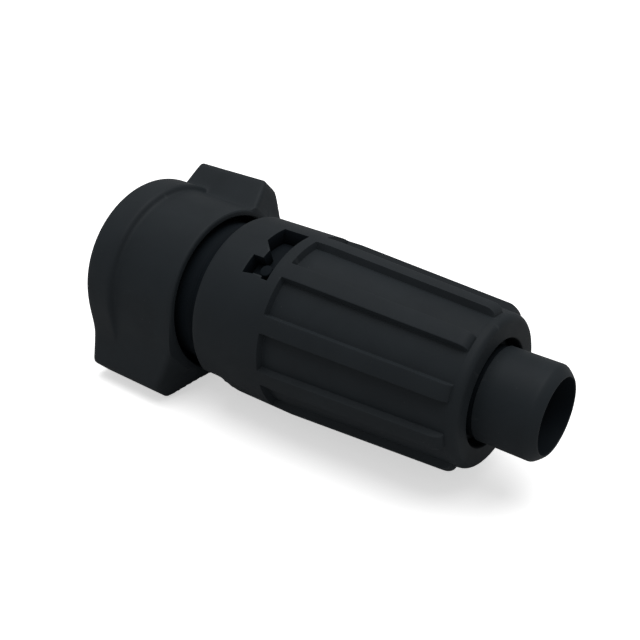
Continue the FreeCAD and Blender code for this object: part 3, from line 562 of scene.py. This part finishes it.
# Painted shade: the bore and the shank hidden in the sleeve get the deeper black, for the shadow inside the
# mouth.
tube.data.materials.append(painted_shade_black.material)
for face in tube.data.polygons:
    off_axis = math.hypot(face.center.y, face.center.z) / MM
    face.material_index = int(off_axis < tube_bore + 0.02 or face.center.x < (SPIGOT_STEP_X - 0.05) * MM)
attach(tube, "emitter_core")
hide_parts("outlet_tube")

bush_low, bush_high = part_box("retainer_bush")
bush_front, bush_back = bush_low.x / MM, bush_high.x / MM
bush = turned("gland_bush", [
    (bush_front, 7.8),
    (bush_front, 9.65),
    (bush_back - 1.6, 9.65),
    (bush_back - 1.6, 11.05),
    (bush_back, 11.05),
    (bush_back, 7.8),
], 128, rounding=0.15)
bush.data.materials.append(acetal.material)
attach(bush, "emitter_core")
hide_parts("retainer_bush")

# ---------------------------------------------------------------------------
# Inner pieces that the sleeve and the core hide: they keep their shapes and
# get the finish of white acetal and of black and red rubber.
# ---------------------------------------------------------------------------
white = Finish("natural_acetal", (0.6, 0.6, 0.57), 0.4)
white.set("Base Color", white.blend(white.noise(0.3, 3.0), (0.56, 0.56, 0.53, 1), (0.66, 0.66, 0.63, 1)))
white.set("Roughness", 0.35 + white.noise(0.9) * 0.15)
white.bump(white.noise(6.0), 0.15, 0.008)
silicone = rubber("red_silicone", (0.25, 0.05, 0.03))
INNER_FINISHES = {
    "check_poppet": white, "spring_carrier": white, "labyrinth_core": white, "diaphragm_cover": white,
    "seal_backup_ring": white, "thrust_ring": white, "poppet_seal": epdm, "tail_seal_ring": epdm,
    "outlet_lip_seal": epdm, "diaphragm": silicone,
}
for node, finish in INNER_FINISHES.items():
    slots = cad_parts[node].data.materials
    slots.clear()
    slots.append(finish.material)


def loose_coil(node, name):
    """A spring's own mesh, copied into a piece of its own and merged."""
    bpy.ops.object.select_all(action="DESELECT")
    coil = bpy.data.objects.new(name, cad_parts[node].data.copy())
    bpy.context.scene.collection.objects.link(coil)
    coil.select_set(True)
    bpy.context.view_layer.objects.active = coil
    bpy.ops.object.mode_set(mode="EDIT")
    bpy.ops.mesh.select_all(action="SELECT")
    bpy.ops.mesh.remove_doubles(threshold=0.002 * MM)
    bpy.ops.object.mode_set(mode="OBJECT")
    bpy.ops.object.shade_smooth_by_angle(angle=math.radians(30))
    coil.data.materials.clear()
    coil.data.materials.append(steel.material)
    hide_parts(node)
    return coil


check_coil = loose_coil("check_spring", "check_coil")
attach(check_coil, "emitter_core")
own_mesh(check_coil)
latch_coil = loose_coil("latch_spring", "latch_coil")
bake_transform(latch_coil)

# ---------------------------------------------------------------------------
# Locking sleeve: the ribbed hand sleeve, black polypropylene with a fine
# spark-eroded grain. A plain collar with the latch window, then ten ribs.
# ---------------------------------------------------------------------------
SLEEVE_FACETS = 400
COLLAR = 16.1
RIB_TURN, RIB_HALF, RIB_PITCH = 29.0, 5.4, 36.0
PANEL_START, TAPER_START, RIB_END = 41.0, 44.0, 75.35
PANEL_DEPTH, PANEL_FLOOR_LOW = 1.25, 13.05
RIB_TAPER, RIB_END_ROUND, RIB_END_FALL = 0.0565, 1.7, 0.75
NOSE_X = 77.0
WINDOW_TOP, WINDOW_FOOT = -5.0, 39.5
WINDOW_LEFT, CATCH_X, WINDOW_RIGHT = 33.5, 35.6, 38.83
UPPER_POCKET, CATCH_TIP, CATCH_EDGE = 11.4, 19.0, 26.0
FOOT_X, FOOT_TURN, NOTCH_X = 37.5, 37.2, 38.0
TOP_LINE, TOP_FAR, CATCH_LINE, CATCH_FAR, FOOT_LINE, FOOT_FAR = -4.5, -10.0, 11.7, 26.1, 39.6, 46.8
RELIEF_TURN, RELIEF_RADIUS, RELIEF_X, RELIEF_RAMP = 138.0, 15.15, 30.5, 32.1
RELIEF_REACH = math.radians(26)
sleeve_plastic = black_moulding("black_sleeve_plastic", (0.013, 0.0163, 0.0192), 0.6, 5.0)


def rib_top(x):
    """Radius of a rib's crest, which tapers towards the nose."""
    return COLLAR - RIB_TAPER * max(x - TAPER_START, 0)


def rib_drop(x):
    """How far a rib's rounded end has fallen below its crest."""
    fall = min(max(x - RIB_END + RIB_END_ROUND, 0), RIB_END_ROUND)
    return RIB_END_FALL * (RIB_END_ROUND - math.sqrt(RIB_END_ROUND ** 2 - fall ** 2))


window_rings = [WINDOW_LEFT, 34.2, 34.9, CATCH_X, 36.2, 36.9, FOOT_X, NOTCH_X, WINDOW_RIGHT]
panel_rings = [PANEL_START + 0.25, 41.6, 42.4, 43.2, TAPER_START] + rings(46.0, 73.0, 14)
outer = (
    [(26.0, 13.8), (26.0, 15.15)]
    + arc(26.95, 15.15, 0.95, 180, 90, 5)
    + [(x, COLLAR) for x in rings(27.6, 33.0, 9)]
    + [(x, COLLAR) for x in window_rings]
    + [(39.6, COLLAR), (40.4, COLLAR), (40.8, COLLAR), (PANEL_START, COLLAR)]
    + [(x, rib_top(x)) for x in panel_rings]
    + [(x, rib_top(x) - rib_drop(x)) for x in (73.5, 74.0, 74.4, 74.7, 74.95, 75.15, 75.28)]
    + [(RIB_END, 13.1), (75.6, 13.08)]
    + arc(75.8, 11.85, 1.2, 84, 0, 7)
    + [(NOSE_X, 9.6)]
    + arc(76.65, 9.5, 0.35, 360, 270, 3)
)
nose_inside = [(74.6, 9.15), (74.6, 11.4), (52.0, 11.4), (52.0, 13.0), (40.5, 13.0), (40.5, 13.6)]
back_rings = [(x, 13.6) for x in reversed(window_rings)]
sleeve = turned("ribbed_sleeve", outer + nose_inside + back_rings + [(26.3, 13.6)], SLEEVE_FACETS)


def polar(point):
    """Station, radius and angle of a point of the sleeve, in millimetres and degrees."""
    angle = math.degrees(math.atan2(-point.y, point.z))
    return point.x / MM, math.hypot(point.y, point.z) / MM, angle


def put(vertex, radius, angle):
    vertex.co.y = -radius * MM * math.sin(math.radians(angle))
    vertex.co.z = radius * MM * math.cos(math.radians(angle))


def in_panel(angle, margin=0.0):
    off = (angle - RIB_TURN + RIB_PITCH / 2) % RIB_PITCH - RIB_PITCH / 2
    return abs(off) > RIB_HALF + margin


def stretch(angle, fixed, moved, far):
    """Slide an angle so that the line at fixed goes to moved while far stays."""
    if min(fixed, far) <= angle <= max(fixed, far):
        return far + (angle - far) * (moved - far) / (fixed - far)
    return angle


def catch_line(x):
    """Angle of the window's slanted catch at a station."""
    return UPPER_POCKET + (CATCH_TIP - UPPER_POCKET) * (x - WINDOW_LEFT) / (CATCH_X - WINDOW_LEFT)


def foot_line(x):
    """Angle of the window's lower edge at a station, with its notch at the right."""
    if x <= FOOT_X:
        return WINDOW_FOOT + (FOOT_TURN - WINDOW_FOOT) * (x - WINDOW_LEFT) / (FOOT_X - WINDOW_LEFT)
    return WINDOW_FOOT


for vertex in sleeve.data.vertices:
    x, radius, angle = polar(vertex.co)
    if PANEL_START + 0.1 < x < RIB_END - 0.01 and radius > 12.9 and in_panel(angle, 0.3):
        put(vertex, min(radius, max(rib_top(x) - PANEL_DEPTH, PANEL_FLOOR_LOW)), angle)
    if x < RELIEF_RAMP and radius > RELIEF_RADIUS - 0.3:
        off = math.radians(angle - RELIEF_TURN)
        if abs(off) < RELIEF_REACH:
            ramp = min(max((x - RELIEF_X) / (RELIEF_RAMP - RELIEF_X), 0), 1)
            flat = (RELIEF_RADIUS + (COLLAR - RELIEF_RADIUS) * ramp) / math.cos(off)
            put(vertex, min(radius, flat), angle)
    if WINDOW_LEFT - 0.1 < x < WINDOW_RIGHT + 0.1 and abs(angle) < 50:
        angle = stretch(angle, TOP_LINE, WINDOW_TOP, TOP_FAR)
        if x < CATCH_X + 0.1:
            angle = stretch(angle, CATCH_LINE, catch_line(x), CATCH_FAR)
        angle = stretch(angle, FOOT_LINE, foot_line(x), FOOT_FAR)
        put(vertex, radius, angle)
sleeve.data.update()


def in_window(x, angle):
    if not (WINDOW_LEFT < x < WINDOW_RIGHT and WINDOW_TOP < angle < foot_line(x)):
        return False
    return x > CATCH_X or angle < catch_line(x) or angle > CATCH_EDGE


bpy.ops.object.select_all(action="DESELECT")
sleeve.select_set(True)
bpy.context.view_layer.objects.active = sleeve
bpy.ops.object.mode_set(mode="EDIT")
bpy.ops.mesh.select_mode(type="FACE")
bpy.ops.mesh.select_all(action="DESELECT")
bpy.ops.object.mode_set(mode="OBJECT")
for face in sleeve.data.polygons:
    x, radius, angle = polar(face.center)
    face.select = in_window(x, angle)
bpy.ops.object.mode_set(mode="EDIT")
bpy.ops.mesh.delete(type="FACE")
bpy.ops.mesh.select_mode(type="EDGE")
bpy.ops.mesh.select_all(action="DESELECT")
bpy.ops.mesh.select_non_manifold(
    extend=False, use_wire=False, use_multi_face=False, use_non_contiguous=False, use_verts=False
)
bpy.ops.mesh.bridge_edge_loops()
bpy.ops.mesh.select_all(action="SELECT")
bpy.ops.mesh.normals_make_consistent(inside=False)
bpy.ops.object.mode_set(mode="OBJECT")
round_edges(sleeve, 0.16, segments=2, angle=38)
bpy.ops.object.shade_smooth_by_angle(angle=math.radians(35))
sleeve.data.materials.append(sleeve_plastic.material)
# Painted shade: the inner walls, the nose's hole and the window's walls get the deeper black, for their
# shadow.
sleeve.data.materials.append(painted_shade_black.material)
for face in sleeve.data.polygons:
    x, radius, angle = polar(face.center)
    by_window = WINDOW_LEFT - 0.3 < x < WINDOW_RIGHT + 0.3 and WINDOW_TOP - 2 < angle < WINDOW_FOOT + 2
    inner_wall = radius < 13.65 and x < PANEL_START or radius < 9.3
    face.material_index = int(inner_wall or by_window and radius < COLLAR - 0.25)
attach(sleeve, "lock_sleeve")
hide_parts("locking_sleeve")

# ---------------------------------------------------------------------------
# Ground, light and camera: a white sheet under a soft light from above, seen
# from where the picture was taken, about 37 degrees round and 30 degrees up.
# ---------------------------------------------------------------------------
ground_z = cad_box[0][2]
bpy.ops.object.select_all(action="DESELECT")
bpy.ops.mesh.primitive_plane_add(size=3, location=(0, 0, ground_z))
ground = bpy.context.object
ground.name = "ground"
PAPER_GLOW, ROOM_LIGHT, KEY_LIGHT = 0.55, 0.42, 1.9
paper = Finish("white_paper", (0.95, 0.95, 0.95), 0.9)
paper.set("Specular IOR Level", 0.0)
seen = paper.node("ShaderNodeLightPath", {}, {}, "Is Camera Ray")
fibre = paper.blend(paper.noise(0.02), (0.97, 0.97, 0.97, 1), (0.99, 0.99, 0.99, 1))
paper.set("Base Color", paper.blend(seen, (0.5, 0.5, 0.5, 1), fibre))
paper.set("Emission Color", paper.blend(seen, (0, 0, 0, 1), (1, 1, 1, 1)))
paper.set("Emission Strength", PAPER_GLOW)
ground.data.materials.append(paper.material)

world = bpy.data.worlds.new("studio")
bpy.context.scene.world = world
world.use_nodes = True
sky = world.node_tree
for node in list(sky.nodes):
    sky.nodes.remove(node)
light_path = sky.nodes.new("ShaderNodeLightPath")
room = sky.nodes.new("ShaderNodeBackground")
room.inputs["Strength"].default_value = ROOM_LIGHT
backdrop = sky.nodes.new("ShaderNodeBackground")
backdrop.inputs["Color"].default_value = (1, 1, 1, 1)
backdrop.inputs["Strength"].default_value = 1.0
choice = sky.nodes.new("ShaderNodeMixShader")
out = sky.nodes.new("ShaderNodeOutputWorld")
sky.links.new(light_path.outputs["Is Camera Ray"], choice.inputs["Fac"])
sky.links.new(room.outputs["Background"], choice.inputs[1])
sky.links.new(backdrop.outputs["Background"], choice.inputs[2])
sky.links.new(choice.outputs["Shader"], out.inputs["Surface"])

key = bpy.data.lights.new("key_light", "SUN")
key.energy = KEY_LIGHT
key.angle = math.radians(60)
key_holder = bpy.data.objects.new("key_light", key)
bpy.context.scene.collection.objects.link(key_holder)
key_holder.rotation_euler = Vector((-0.05, -0.1, -1.0)).to_track_quat("-Z", "Y").to_euler()

CAMERA_PLACE = (0.132515, -0.119776, 0.087213)
FORWARD = Vector((-0.52284, 0.69288, -0.49654)).normalized()
FOCAL_PIXELS, FRAME_PIXELS, SENSOR = 981.44, 640, 36.0
right = FORWARD.cross(Vector((0, 0, 1))).normalized()
above = right.cross(FORWARD)
view = bpy.data.cameras.new("view")
view.sensor_width = SENSOR
view.lens = FOCAL_PIXELS / FRAME_PIXELS * SENSOR
view.clip_start = 0.005
camera = bpy.data.objects.new("view", view)
bpy.context.scene.collection.objects.link(camera)
turn = Matrix((right, above, -FORWARD)).transposed().to_4x4()
camera.matrix_world = Matrix.Translation(CAMERA_PLACE) @ turn
bpy.context.scene.camera = camera
bpy.context.scene.view_settings.view_transform = "Standard"
